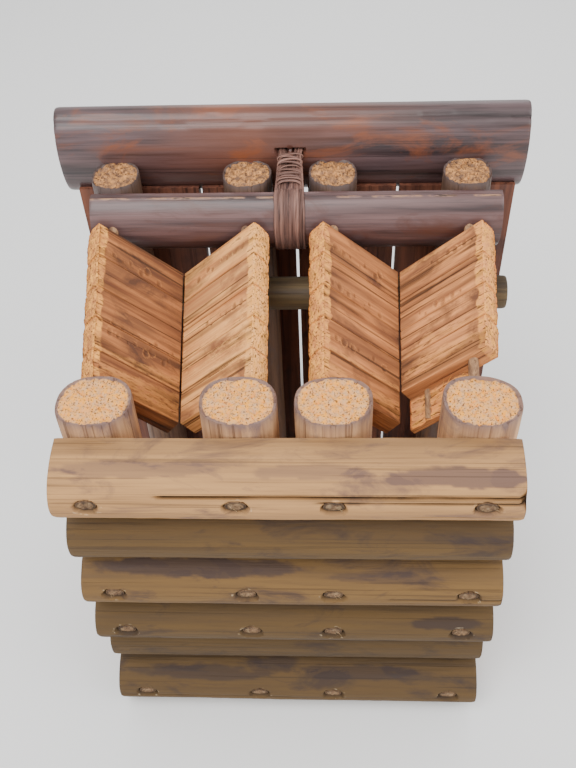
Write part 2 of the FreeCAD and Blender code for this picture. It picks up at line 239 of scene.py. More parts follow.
def colour(r, g, b):
    """Linear colour from the 0 to 255 values of a paint chart: ((c/255 + 0.055)/1.055)^2.4."""
    return tuple(((c / 255 + 0.055) / 1.055) ** 2.4 for c in (r, g, b)) + (1.0,)


def wood(name, light, deep, stain, pith, dirt_and_shade, gloss=0.75, coat=0.0, cracks=0.5, bump=0.35,
         streak=(7.0, 160.0, 160.0), object_axes=None, contrast=1.0):
    """Weathered fibrous wood.

    Base colour = light to deep by long streaks as strong as the contrast, then stain by slow
    cloudy patches, then dark hairline cracks. Tone x bares the pith with its dots, tone y darkens
    towards the dirt_and_shade colour, for real soiling and for painted shade alike, and tone z adds the
    stain.
    """
    material = bpy.data.materials.new(name)
    material.use_nodes = True
    tree = material.node_tree
    shader = tree.nodes["Principled BSDF"]
    if object_axes is None:
        where = add(tree, "Attribute", {"attribute_name": "grain"}).outputs["Vector"]
    else:
        place = add(tree, "TexCoord").outputs["Object"]
        where = add(tree, "Mapping", {}, Vector=place, Rotation=object_axes).outputs[0]
    tone = add(tree, "SeparateXYZ", {}, Vector=add(tree, "Attribute", {"attribute_name": "tone"})
               .outputs["Vector"]).outputs
    fibres = speckle(tree, where, streak)
    fine = speckle(tree, where, tuple(v * 4.0 for v in streak), 3.0)
    clouds = speckle(tree, where, (14.0, 30.0, 30.0), 6.0, 0.65, 0.6)
    swing = 0.5 * contrast
    base = mixed(tree, span(tree, fibres, 0.36, 0.66, 0.5 - swing, 0.5 + swing), light, deep)
    base = mixed(tree, span(tree, fine, 0.55, 0.75, 0.0, 0.55 * contrast), base, deep)
    patch = add(tree, "Math", {"operation": "ADD"}, i0=span(tree, clouds, 0.52, 0.66, 0.0, 0.8), i1=tone[2])
    base = mixed(tree, span(tree, patch.outputs[0], 0.0, 1.0), base, stain)
    lines = speckle(tree, where, (3.5, 330.0, 330.0), 2.0, 0.5, 0.3)
    crack = span(tree, lines, 0.40, 0.34, 0.0, cracks)
    base = mixed(tree, crack, base, dirt_and_shade)
    dots = speckle(tree, where, (90.0, 620.0, 620.0), 2.0, 0.6)
    grains = speckle(tree, where, (60.0, 190.0, 190.0), 4.0, 0.7)
    bare = mixed(tree, span(tree, grains, 0.38, 0.62), pith, light)
    bare = mixed(tree, span(tree, dots, 0.45, 0.35, 0.0, 0.85), bare, dirt_and_shade)
    bared = add(tree, "Math", {"operation": "ADD"}, i0=tone[0],
                i1=span(tree, grains, 0.3, 0.7, -0.3, 0.3)).outputs[0]
    base = mixed(tree, span(tree, bared, 0.35, 0.75), base, bare)
    # Tone y darkens the base towards the dirt_and_shade colour: real soiling together with the painted shade
    # that the shapes write into it.
    grime_and_shade = add(tree, "Math", {"operation": "MULTIPLY"}, i0=tone[1],
                i1=span(tree, clouds, 0.25, 0.6, 0.65, 1.0)).outputs[0]
    base = mixed(tree, grime_and_shade, base, dirt_and_shade)
    tree.links.new(base, shader.inputs["Base Color"])
    worn = span(tree, fibres, 0.3, 0.7, gloss + 0.1, gloss - 0.08)
    tree.links.new(worn, shader.inputs["Roughness"])
    shader.inputs["Specular IOR Level"].default_value = 0.4
    shader.inputs["Coat Weight"].default_value = coat
    shader.inputs["Coat Roughness"].default_value = 0.28
    relief = add(tree, "Math", {"operation": "MULTIPLY_ADD"}, i0=crack, i1=-1.5, i2=fine).outputs[0]
    relief = add(tree, "Math", {"operation": "MULTIPLY_ADD"}, i0=dots, i1=tone[0], i2=relief).outputs[0]
    lift = add(tree, "Bump", {}, Strength=bump, Distance=0.0012, Height=relief)
    tree.links.new(lift.outputs[0], shader.inputs["Normal"])
    return material


pole_wood = wood("pole_wood", colour(222, 172, 124), colour(166, 122, 86), colour(132, 106, 98),
                 colour(255, 170, 56), colour(64, 34, 14))


def oval_outline(width, depth, seed, n):
    """Closed squarish oval: half sizes times (cos a, sin a) to the power 0.86, with slow lobes."""
    a = np.linspace(0, 2 * math.pi, n, endpoint=False)
    lobe = 1 + 0.02 * np.cos(2 * a + seed) + 0.014 * np.cos(3 * a + 2.1 * seed) - 0.034
    c, s = np.cos(a), np.sin(a)
    square = np.stack([np.sign(c) * np.abs(c) ** 0.86, np.sign(s) * np.abs(s) ** 0.86], axis=1)
    return lobe[:, None] * square * (width / 2, depth / 2)


def pole(low, high, seed, flat_front, flat_back=None):
    """Upright pole in a CAD box: an oval section, hewn flats, a worn rim and a pithy, uneven top."""
    size = high - low
    mid = (low + high) / 2
    stations = np.concatenate([[0.0, 0.0015], np.linspace(0.006, size.z - 0.03, 60),
                               np.linspace(size.z - 0.027, size.z - 0.0006, 16)])
    base = oval_outline(size.x, size.y, seed, POST_COLUMNS)
    outline = np.repeat(base[None], len(stations), axis=0)
    from_end = np.minimum(stations, size.z - stations)
    outline *= (1 - 0.03 * np.exp(-from_end / 0.0012))[:, None, None]
    form = bar(stations, outline)
    angle = np.arctan2(form["section"][..., 1], form["section"][..., 0])
    z = form["along"]
    side = -0.0009 * (0.5 + rough(z * 25, 3 * np.cos(angle), seed)
                      + rough(z * 25, 3 * np.sin(angle), seed + 9))
    side -= 0.0004 * (noise(z * 18, 14 * np.cos(angle), seed) > 0.8)
    cap = 0.0008 * rough(form["section"][..., 0] * 180, form["section"][..., 1] * 180, seed) * 2
    cap -= 0.0022 * step(0.45, 0.75, noise(form["section"][..., 0] * 420, form["section"][..., 1] * 420,
                                           seed + 4)) * (form["ring"] < 0.93)
    push = np.where(form["end"] == 0, side, np.where(form["end"] > 0, cap, np.minimum(cap, 0.0)) - 0.0004)
    xyz = placed(form, push, (mid.x, mid.y, low.z), ((0, 0, 1), (1, 0, 0), (0, 1, 0)))
    xyz[..., 1] = np.maximum(xyz[..., 1], np.where(xyz[..., 2] < flat_front[1], flat_front[0], -9))
    if flat_back is not None:
        xyz[..., 1] = np.minimum(xyz[..., 1], flat_back)
    grain = np.stack([z + seed, form["section"][..., 0], form["section"][..., 1]], axis=2)
    on_top = form["end"] > 0
    pith = np.where(on_top, 1.3 * step(0.95, 0.84, form["ring"]), 0.0)
    rim = np.where(on_top, step(0.80, 0.93, form["ring"]), np.exp(-(size.z - z) / 0.007))
    tone = np.stack([pith, 0.25 * np.exp(-z / 0.05) + 0.25 * rim * noise(angle * 3, z * 90, seed),
                     0.9 * rim], axis=2)
    return xyz, grain, tone


log_box = [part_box("front_log_%d" % k) for k in range(1, 7)]
log_back = log_box[0][1].y
for i in range(1, 5):
    low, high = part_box("front_post_%d" % i)
    skin = pole(low, high, 3.7 * i, flat_front=(log_back - 0.0003, log_box[0][1].z))
    build("front_pole_%d" % i, [skin], pole_wood, "frame", ["front_post_%d" % i])

# Front logs: six half-round logs with their flat backs on the posts. The second and fifth are
# thinner and sit back. They are dusty and cracked, and the other four are pegged to every post.
LOG_ARC = 72
LOG_BACK = 20
PEG_HALF = (0.0095, 0.006)
PEG_RISE = 0.005
PIT_DEPTH = 0.0062
PEGGED = (1, 3, 4, 6)
post_x = [(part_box("front_post_%d" % i)[0].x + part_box("front_post_%d" % i)[1].x) / 2 for i in range(1, 5)]

# Brightness of each log, top log first: painted light and shade, the top log painted lit and the lower ones
# painted darker and olive-brown, as if turned away from the light above
LOG_PAINTED_LIGHT = (1.02, 0.52, 0.64, 0.50, 0.48, 0.52)
lit_and_shaded_log_woods = []
# Lit and shaded copies of one log wood: each log's painted light scales its light, deep and stain colours,
# and lowers the blue further on the darker logs.
for k, shade in enumerate(LOG_PAINTED_LIGHT, start=1):
    blue = shade * (0.72 + 0.28 * shade)
    lit_and_shaded_log_woods.append(wood("log_wood_%d" % k, colour(196 * shade, 148 * shade, 94 * blue),
                          colour(142 * shade, 104 * shade, 64 * blue),
                          colour(112 * shade, 84 * shade, 70 * shade),
                          colour(226, 206, 172), colour(44, 30, 20), cracks=0.35, bump=0.45,
                          streak=(4.0, 70.0, 70.0), contrast=0.6))

# One entry per split: log, start, end, angle above the middle, width, depth, wander
SPLITS = ((1, -0.105, 0.19, 27.0, 0.0010, 0.0042, 0.0022), (1, 0.02, 0.19, 19.0, 0.0007, 0.0022, 0.0012),
          (1, -0.19, -0.09, -20.0, 0.0007, 0.0028, 0.0010), (1, 0.09, 0.19, -8.0, 0.0006, 0.0020, 0.0010),
          (1, -0.19, 0.19, -47.0, 0.0006, 0.0016, 0.0010), (3, -0.19, -0.06, -22.0, 0.0007, 0.0024, 0.0009),
          (3, -0.04, 0.10, -30.0, 0.0005, 0.0016, 0.0010), (3, 0.08, 0.19, 4.0, 0.0005, 0.0016, 0.0010),
          (4, -0.19, -0.12, -12.0, 0.0007, 0.0026, 0.0008), (6, -0.19, 0.0, 2.0, 0.0007, 0.0028, 0.0011),
          (6, 0.02, 0.17, 3.0, 0.0005, 0.0018, 0.0010))
# Stains: log, x, angle above the middle, half length, half width in degrees, strength
STAINS = ((1, 0.13, 50.0, 0.055, 11.0, 0.9), (1, -0.12, 58.0, 0.06, 9.0, 0.5),
          (1, 0.02, 56.0, 0.04, 8.0, 0.5), (3, -0.08, 52.0, 0.09, 12.0, 0.9),
          (3, 0.08, 40.0, 0.05, 7.0, 0.5), (4, 0.14, 30.0, 0.03, 10.0, 0.8),
          (2, 0.15, 30.0, 0.04, 9.0, 0.35), (6, -0.1, 48.0, 0.07, 11.0, 0.7),
          (6, 0.06, 50.0, 0.06, 10.0, 0.7), (6, -0.02, 60.0, 0.03, 12.0, 0.7))
PER_RADIAN = 57.3               # degrees in a radian, rounded
CROWN_RUN = 0.042               # grain run round a log's crown for each radian


def log_skin(k, low, high):
    """Half-round log: y = back - thick cos a, z = middle + half height sin a, pitted at its pegs."""
    length, thick = high.x - low.x, high.y - low.y
    mid_z, half = (low.z + high.z) / 2, (high.z - low.z) / 2
    stations = np.concatenate([[0.0], np.linspace(0.0012, length - 0.0012, 250), [length]])
    a = np.radians(np.linspace(-90, 90, LOG_ARC))
    arc = np.stack([-thick * np.cos(a) ** 0.92, half * np.sin(a)], axis=1)
    flat = np.stack([np.zeros(LOG_BACK), np.linspace(half, -half, LOG_BACK + 2)[1:-1]], axis=1)
    profile = np.concatenate([arc, flat])
    angle = np.concatenate([a, np.full(LOG_BACK, math.pi)])
    outline = np.repeat(profile[None], len(stations), axis=0)
    worn = np.exp(-np.minimum(stations, length - stations) / 0.0015) * 0.02
    outline[..., 1] *= (1 - worn)[:, None]
    outline[:, :LOG_ARC, 0] *= (1 - worn)[:, None]
    form = bar(stations, outline)
    x = form["along"] + low.x
    turn = np.degrees(np.broadcast_to(angle, x.shape))
    front = (np.abs(turn) < 91) & (form["end"] == 0)
    arc_run = turn / PER_RADIAN * CROWN_RUN
    push = -0.0013 * (0.5 + rough(x * 9, arc_run * 60, k))
    push -= 0.00045 * (0.5 + rough(x * 60, arc_run * 900, k + 20))
    pale, dark, blot = (np.zeros_like(x) for _ in range(3))
    for log, x0, x1, at, width, depth, wander in SPLITS:
        if log == k:
            line = at + PER_RADIAN / CROWN_RUN * wander * rough(x * 14, x * 0 + 1, 7 * at)
            inside = step(x0, x0 + 0.012, x) * step(x1 + 0.001, x1 - 0.012, x)
            gap = np.abs(turn - line) / PER_RADIAN * CROWN_RUN
            cut = inside * np.exp(-(gap / width) ** 2)
            push -= depth * cut
            # Painted shade: the split is darkened along its line as well as cut in.
            dark = np.maximum(dark, 1.1 * cut)
    for log, x0, at, half_x, half_a, strength in STAINS:
        if log == k:
            d = (((x - x0) / half_x) ** 2 + ((turn - at) / half_a) ** 2
                 + 1.6 * rough(x * 60, turn * 0.12, log + x0))
            blot = np.maximum(blot, strength * step(1.25, 0.75, d))
    z = form["section"][..., 1]
    if k in PEGGED:
        for n, px in enumerate(post_x):
            ragged = 0.32 * rough(x * 260, z * 420, 3 * n + k)
            d = np.hypot((x - px) / PEG_HALF[0], (z - PEG_RISE) / PEG_HALF[1]) + ragged
            pit = step(1.22, 0.86, d) * (np.abs(turn) < 60)
            push -= PIT_DEPTH * pit
            # Painted shade: the peg pit is darkened as well as sunk.
            dark = np.maximum(dark, 1.0 * pit)
            torn = np.exp(-((d - 1.3) / 0.16) ** 2) * step(0.5, 0.8, noise(x * 200, z * 300, k + n))
            pale = np.maximum(pale, 0.7 * torn * (np.abs(turn) < 60))
    if k == 1:
        chip = step(0.178, 0.184, x + 0.002 * rough(z * 400, x * 0, 2)) * np.exp(-((turn - 24) / 9) ** 2)
        push -= 0.007 * chip
        # Painted shade: the chip is darkened as well as cut away.
        dark = np.maximum(dark, 0.5 * chip)
    push = np.where(front, push, -0.0006 * (0.5 + rough(x * 40, z * 90, k)))
    sawn = 0.0011 * rough(form["section"][..., 0] * 220, z * 220, k) - 0.0006
    push = np.where(form["end"] != 0, sawn, push)
    # Painted shade: each log's front is darkened towards its underside and along its top edge, in the crease
    # under the log above.
    dark += 0.30 * step(-30, -75, turn) * front + 0.25 * step(60, 88, turn) * front
    ends = np.where(form["end"] != 0, 0.45, 0.0)
    across = np.where(np.abs(turn) < 91, arc_run, z + 0.2)
    grain = np.stack([x + 0.7 * k, across, form["section"][..., 0]], axis=2)
    xyz = placed(form, push, (low.x, high.y, mid_z), ((1, 0, 0), (0, 1, 0), (0, 0, 1)))
    return xyz, grain, np.stack([pale, dark + ends, blot], axis=2)


for k, (low, high) in enumerate(log_box, start=1):
    build("front_log_skin_%d" % k, [log_skin(k, low, high)], lit_and_shaded_log_woods[k - 1], "frame",
          ["front_log_%d" % k])

# Front pegs: oval pegs driven through the logs into the posts. Their crushed, fibrous heads sit
# a few millimetres down in ragged holes, and white fibres stick out of some of them.
PEG_STATIONS = 10
peg_wood = wood("peg_wood", colour(186, 148, 108), colour(120, 86, 58), colour(96, 72, 58),
                colour(226, 196, 150), colour(40, 26, 16), bump=0.5)
FIBRES = ((1, 3, 9), (1, 4, 3), (1, 2, 3), (3, 3, 5), (4, 3, 3), (3, 1, 2), (5, 4, 4))


def peg_skin(x, z, y_head, y_foot, seed):
    """Oval peg along y with a domed head broken into rough fibres."""
    stations = np.linspace(0, y_foot - y_head, PEG_STATIONS)
    oval = oval_outline(1.8 * PEG_HALF[0], 1.8 * PEG_HALF[1], seed, 28)
    outline = np.repeat(oval[None], PEG_STATIONS, axis=0)
    form = bar(stations, outline, PITH_RINGS[1:])
    u, v = form["section"][..., 0], form["section"][..., 1]
    crushed = 0.0026 * rough(u * 700, v * 700, seed) + 0.0006 * (1 - form["ring"])
    push = np.where(form["end"] < 0, crushed, 0.0)
    grain = np.stack([form["along"] + seed, u, v], axis=2)
    head = (form["end"] < 0)
    tone = np.stack([0.7 * head * noise(u * 300, v * 300, seed), 0.55 + 0.35 * head * (form["ring"] > 0.7),
                     0 * u], axis=2)
    xyz = placed(form, push, (x, y_head, z), ((0, 1, 0), (1, 0, 0), (0, 0, 1)))
    return xyz, grain, tone


def whisker(start, lean, length, width, seed):
    """Torn fibre: a thin tapering strip that bends, start + t lean + t^2 side."""
    t = np.linspace(0, length, 7)
    taper = width * (1 - 0.85 * t / length)
    ring = np.array([(-1, -0.3), (1, -0.3), (1, 0.3), (-1, 0.3)]) / 2
    form = bar(t, taper[:, None, None] * ring[None], (0.5,))
    ahead_axis = np.array(lean) / np.linalg.norm(lean)
    side = np.cross(ahead_axis, (0.3, 0.2, 1.0))
    side /= np.linalg.norm(side)
    up = np.cross(side, ahead_axis)
    xyz = placed(form, 0.0, start, (ahead_axis, side, up))
    bend = (form["along"] / length) ** 2 * length * 0.35 * math.sin(seed * 5.1)
    xyz = xyz + bend[..., None] * side
    ones = np.ones(form["along"].shape)
    grain = np.stack([form["along"], form["section"][..., 0], form["section"][..., 1]], axis=2)
    return xyz, grain, np.stack([1.3 * ones, 0 * ones, 0 * ones], axis=2)


pegs, fibres = [], []
for k in PEGGED:
    low, high = log_box[k - 1]
    z = (low.z + high.z) / 2 + PEG_RISE
    for n, x in enumerate(post_x):
        pegs.append(peg_skin(x, z, low.y + 0.0042, log_back + 0.019, 5 * k + n))
for log, post, count in FIBRES:
    low, high = log_box[log - 1]
    z = (low.z + high.z) / 2 + PEG_RISE
    for n in range(count):
        swing = math.sin(12.9 * n + 3.1 * log + post)
        start = (post_x[post - 1] + 0.005 * swing, low.y + 0.0048, z - 0.002 + 0.002 * math.cos(7 * n))
        lean = (0.9 + 0.5 * swing, -0.30, -0.9 + 0.5 * math.cos(9 * n))
        fibres.append(whisker(start, lean, 0.004 + 0.004 * abs(math.sin(3 * n + log)), 0.0007, n + log))
build("front_peg_heads", pegs, peg_wood, "frame", ["front_pegs"])
build("torn_peg_fibres", fibres, peg_wood, "frame")

# Back posts: four rounder poles with a flat hewn front and back. The clamp rail sits on the front
# flats and the boards on the back ones. The orange-tan tops are split from the middle outwards.
back_wood = wood("back_wood", colour(120, 88, 66), colour(84, 60, 46), colour(96, 80, 76),
                 colour(214, 150, 88), colour(48, 26, 14), gloss=0.6)
rail_low, rail_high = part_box("clamp_rail")
board_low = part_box("back_board_1")[0]
for i in range(1, 5):
    low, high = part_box("back_post_%d" % i)
    mid, radius = (low.y + high.y) / 2, (high.x - low.x) / 2
    low = Vector((low.x, mid - radius, low.z))
    high = Vector((high.x, mid + radius, high.z))
    skin = pole(low, high, 2.3 * i + 1, flat_front=(rail_high.y - 0.0003, 9.0),
                flat_back=board_low.y + 0.0003)
    build("back_pole_%d" % i, [skin], back_wood, "frame", ["back_post_%d" % i])

# Back log: a thick pole let into the backs of the back posts, its middle level with their tops,
# and pegged to them. It is a polished black-brown with orange-brown patches, and two holes in it
# take the lashing.
# The grey-mauve light colour is a painted reflection of the pale surroundings on the polish; the deep and
# stain colours are the log's own black-brown and orange-brown.
polish_and_painted_sheen = wood("polish_and_painted_sheen", colour(100, 80, 82), colour(40, 31, 33), colour(122, 68, 44),
                   colour(170, 120, 80), colour(26, 18, 16), gloss=0.42, coat=0.4, cracks=0.35,
                   bump=0.2, streak=(4.0, 90.0, 90.0))
log_low, log_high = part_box("back_log")
HOLE_LIFT = 0.00775             # from the log's middle height up to its two lashing holes
HOLE_Z = (log_low.z + log_high.z) / 2 + HOLE_LIFT
HOLE_X = 0.0069


def back_log_skin(low, high):
    """Oval log along x: half sizes times (cos a, sin a), with two grooves and two lashing holes."""
    length = high.x - low.x
    stations = np.concatenate([[0.0, 0.0008], np.linspace(0.003, length - 0.003, 190),
                               [length - 0.0008, length]])
    a = np.linspace(0, 2 * math.pi, 88, endpoint=False)
    c, s = np.cos(a), np.sin(a)
    profile = np.stack([(high.y - low.y) / 2 * c, (high.z - low.z) / 2 * s], axis=1)
    outline = np.repeat(profile[None], len(stations), axis=0)
    outline *= (1 - 0.025 * np.exp(-np.minimum(stations, length - stations) / 0.001))[:, None, None]
    form = bar(stations, outline)
    x = form["along"] + low.x
    turn = np.degrees(np.arctan2(form["section"][..., 1], form["section"][..., 0]))
    ring_y, ring_z = np.cos(np.radians(turn)), np.sin(np.radians(turn))
    push = -0.0007 * (0.5 + 0.5 * rough(x * 9, ring_y * 3, 3) + 0.5 * rough(x * 9, ring_z * 3, 4))
    push -= 0.0011 * np.exp(-((turn - 112) / 2.2) ** 2) + 0.0007 * np.exp(-((turn - 126) / 1.6) ** 2)
    push -= 0.0005 * step(0.62, 0.7, noise(x * 30, turn * 0.5, 5)) * (np.abs(turn - 118) < 16)
    z = form["section"][..., 1] + (low.z + high.z) / 2
    hollow = np.minimum(np.hypot((x - HOLE_X) / 0.0056, (z - HOLE_Z) / 0.0026),
                        np.hypot((x + HOLE_X) / 0.0056, (z - HOLE_Z) / 0.0026))
    pit = step(1.3, 0.8, hollow) * (np.abs(ring_y) > 0.6)
    push -= 0.007 * pit
    on_end = form["end"] != 0
    push = np.where(on_end, 0.0012 * rough(form["section"][..., 0] * 160, z * 160, 2) - 0.0006, push)
    middle = np.exp(-((x + 0.02) / 0.10) ** 2)
    warm = (0.65 * middle + 0.05) * step(0.1, 0.8, noise(x * 14, ring_z * 2 + 5, 8) + 0.25 * middle)
    band = 0.6 * np.exp(-((turn - 150) / 9) ** 2)
    warm = np.maximum(warm, band * step(0.4, 0.6, noise(x * 14, turn * 0, 6)))
    # Painted shade: the lashing holes are darkened as well as sunk.
    dark = np.maximum(0.9 * pit, np.where(on_end, 0.5, 0.15 * step(0.5, 0.7, noise(x * 17, ring_z * 4, 12))))
    grain = np.stack([x, ring_y * 0.03, form["section"][..., 1]], axis=2)
    tone = np.stack([0.25 * on_end, dark, np.where(on_end, 0, warm)], axis=2)
    xyz = placed(form, push, (low.x, (low.y + high.y) / 2, (low.z + high.z) / 2),
                 ((1, 0, 0), (0, 1, 0), (0, 0, 1)))
    return xyz, grain, tone


build("back_log_skin", [back_log_skin(log_low, log_high)], polish_and_painted_sheen, "frame", ["back_log"])

# Back boards: four upright boards behind the back posts, from just above the floor up to the
# back log, each pegged to one post. They keep the CAD's plain faces, and so do the round pegs,
# the ties, the hinge rods and the leaves' dowels.
board_wood = wood("board_wood", colour(128, 78, 58), colour(78, 44, 34), colour(64, 42, 38),
                  colour(170, 120, 80), colour(30, 16, 12), gloss=0.6, bump=0.3,
                  streak=(5.0, 110.0, 110.0), object_axes=(0.0, math.pi / 2, 0.0))
dowel_wood = wood("dowel_wood", colour(178, 138, 100), colour(122, 88, 62), colour(96, 72, 58),
                  colour(226, 196, 150), colour(48, 30, 18), bump=0.3,
                  streak=(8.0, 300.0, 300.0), object_axes=(0.0, 0.0, -math.pi / 2))
for i in range(1, 5):
    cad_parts["back_board_%d" % i].material_slots[0].material = board_wood
for name in ("board_pegs", "back_log_pegs", "bearer_pegs", "hidden_pegs", "lower_tie_1", "lower_tie_2",
             "hinge_rod_1", "hinge_rod_2", "hinge_rod_3", "hinge_rod_4",
             "leaf_1_tie_dowel", "leaf_2_tie_dowel", "leaf_3_tie_dowel", "leaf_4_tie_dowel"):
    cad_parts[name].material_slots[0].material = dowel_wood

# Bearer: a round olive-brown pole across the crate under the back ends of the leaves, pegged to
# the back posts. The leaves' lower corners end just above it.
bearer_wood = wood("bearer_wood", colour(112, 92, 60), colour(74, 58, 38), colour(60, 48, 36),
                   colour(150, 122, 84), colour(30, 20, 12), gloss=0.6, bump=0.4)


def round_skin(low, high, seed, n=56, stations=110, drop=0.0004):
    """Round pole along x: circle sections with a slow wander of the radius and rough sawn ends."""
    length = high.x - low.x
    at = np.concatenate([[0.0, 0.0007], np.linspace(0.003, length - 0.003, stations),
                         [length - 0.0007, length]])
    a = np.linspace(0, 2 * math.pi, n, endpoint=False)
    profile = (high.z - low.z) / 2 * np.stack([np.cos(a), np.sin(a)], axis=1)
    outline = np.repeat(profile[None], len(at), axis=0)
    outline *= (1 - 0.05 * np.exp(-np.minimum(at, length - at) / 0.001))[:, None, None]
    form = bar(at, outline, PITH_RINGS[1:])
    c, s = form["section"][..., 0], form["section"][..., 1]
    x = form["along"]
    push = -drop * (0.5 + rough(x * 20, c * 200, seed) + rough(x * 20, s * 200, seed + 5))
    push = np.where(form["end"] != 0, 0.0009 * rough(c * 300, s * 300, seed) - 0.0005, push)
    grain = np.stack([x + seed, c, s], axis=2)
    ends = np.where(form["end"] != 0, 0.8 * step(0.98, 0.8, form["ring"]), 0.0)
    tone = np.stack([ends, 0.2 + 0 * x, 0 * x], axis=2)
    xyz = placed(form, push, (low.x, (low.y + high.y) / 2, (low.z + high.z) / 2),
                 ((1, 0, 0), (0, 1, 0), (0, 0, 1)))
    return xyz, grain, tone


bearer_low, bearer_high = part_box("bearer")
build("bearer_pole", [round_skin(bearer_low, bearer_high, 4.0)], bearer_wood, "frame",
      ["bearer"])

# Clamp rail: a dark, polished strip of pole with a round front, laid across the fronts of the back
# posts, behind the leaves. The hinge rods pass through it and the lashing ties it to the back log.
# The greyish light colour is partly the rail's own polish and partly a painted reflection of the pale
# surroundings.
rail_polish_and_painted_sheen = wood("rail_polish_and_painted_sheen", colour(112, 84, 82), colour(60, 44, 44), colour(84, 48, 38),
                   colour(188, 140, 96), colour(26, 16, 14), gloss=0.4, coat=0.35, cracks=0.3,
                   bump=0.2, streak=(4.0, 100.0, 100.0))
RAIL_FACET = 0.008


def rail_skin(low, high):
    """Strip along x: a flat back, narrow flats above and below, and a circular arc at the front."""
    length, half, deep = high.x - low.x, (high.z - low.z) / 2, high.y - low.y
    bulge = deep - RAIL_FACET
    radius = (half ** 2 + bulge ** 2) / (2 * bulge)
    reach = math.asin(half / radius)
    a = np.linspace(-reach, reach, 44)
    arc = np.stack([-RAIL_FACET - (radius * np.cos(a) - radius + bulge), radius * np.sin(a)], axis=1)
    top = np.stack([np.linspace(-RAIL_FACET, 0, 8)[1:], np.full(7, half)], axis=1)
    back = np.stack([np.zeros(10), np.linspace(half, -half, 12)[1:-1]], axis=1)
    under = np.stack([np.linspace(0, -RAIL_FACET, 8)[:-1], np.full(7, -half)], axis=1)
    profile = np.concatenate([arc, top, back, under])
    at = np.concatenate([[0.0, 0.0008], np.linspace(0.003, length - 0.003, 170), [length - 0.0008, length]])
    outline = np.repeat(profile[None], len(at), axis=0)
    outline[..., 1] *= (1 - 0.03 * np.exp(-np.minimum(at, length - at) / 0.001))[:, None]
    form = bar(at, outline)
    x, y, z = form["along"] + low.x, form["section"][..., 0], form["section"][..., 1]
    front = (y < -RAIL_FACET + 1e-5) & (form["end"] == 0)
    push = np.where(front, -0.0005 * (0.5 + rough(x * 10, z * 50, 6)), 0.0)
    arris = front * np.exp(-((z - half) / 0.0009) ** 2)
    push -= 0.0006 * arris * (0.6 + 0.4 * noise(x * 120, z * 0, 3))
    push -= 0.0009 * (np.abs(y + 0.004) < 0.0012) * (z > half - 0.0005) * (form["end"] == 0)
    push = np.where(form["end"] != 0, 0.0009 * rough(y * 260, z * 260, 6) - 0.0005, push)
    pale = 0.75 * np.exp(-((z - half) / 0.0008) ** 2) * (y < -RAIL_FACET + 0.0015) * (form["end"] == 0)
    pale *= step(0.15, 0.4, noise(x * 60, x * 0, 21))
    warm = step(0.45, 0.7, noise(x * 18, z * 30, 9)) * step(0.4 * half, -half, z)
    # Painted shade: the lower half of the round front is darkened, facing away from the light above.
    dark = 0.45 * step(0.1 * half, -half, z) * front
    grain = np.stack([x + 2.0, z, y], axis=2)
    xyz = placed(form, push, (low.x, high.y, (low.z + high.z) / 2), ((1, 0, 0), (0, 1, 0), (0, 0, 1)))
    return xyz, grain, np.stack([pale, dark, 0.8 * warm], axis=2)


build("clamp_rail_skin", [rail_skin(rail_low, rail_high)], rail_polish_and_painted_sheen, "frame", ["clamp_rail"])

# Lashing: split cane wound round the clamp rail and through the two holes in the back log. The
# strands fan out over the rail, draw together behind it, and more turns bind their neck.
cane_wood = wood("cane_wood", colour(152, 112, 98), colour(96, 66, 58), colour(76, 54, 52),
                 colour(176, 140, 110), colour(30, 20, 16), gloss=0.5, cracks=0.7, bump=0.6,
                 streak=(10.0, 500.0, 500.0))
CANE_GAP = 0.0003
CANE_W = 0.0027
CANE_T = 0.0015
STRANDS = 15
log_mid = (log_low + log_high) / 2
log_half = (log_high - log_low) / 2


def cane_route(lift):
    """Closed route in y and z: over the rail, down its arc, under it, up the back log and through.

    The rail's arc has radius r = (h^2 + b^2) / 2b, and the log's part is its own oval, both moved
    outwards by the lift.
    """
    half, deep = (rail_high.z - rail_low.z) / 2, rail_high.y - rail_low.y
    bulge = deep - RAIL_FACET
    radius = (half ** 2 + bulge ** 2) / (2 * bulge)
    reach = math.asin(half / radius)
    a = np.linspace(reach, -reach, 15)
    arc_y = rail_low.y + radius - (radius + lift) * np.cos(a)
    arc_z = (rail_low.z + rail_high.z) / 2 + (radius + lift) * np.sin(a)
    b = np.radians(np.linspace(-112, 6, 17))
    oval_y = log_mid.y + (log_half.y + lift) * np.cos(b)
    oval_z = log_mid.z + (log_half.z + lift) * np.sin(b)
    mouth_y = log_mid.y - log_half.y
    y = np.concatenate([[rail_high.y], arc_y, [rail_high.y - 0.001], oval_y,
                        [log_mid.y + log_half.y - 0.004, log_mid.y, mouth_y + 0.003, mouth_y - 0.004]])
    z = np.concatenate([[rail_high.z + lift], arc_z, [rail_low.z - lift], oval_z,
                        [HOLE_Z, HOLE_Z, HOLE_Z, HOLE_Z - 0.0005]])
    return y, z


def along_loop(points, n):
    """n even steps along a closed run of points, smoothed by averaging with their neighbours."""
    closed = np.concatenate([points, points[:1]])
    run = np.concatenate([[0], np.cumsum(np.linalg.norm(np.diff(closed, axis=0), axis=1))])
    even = np.linspace(0, run[-1], n, endpoint=False)
    path = np.stack([np.interp(even, run, closed[:, k]) for k in range(3)], axis=1)
    for _ in range(3):
        path = 0.5 * path + 0.25 * (np.roll(path, 1, axis=0) + np.roll(path, -1, axis=0))
    return path, even


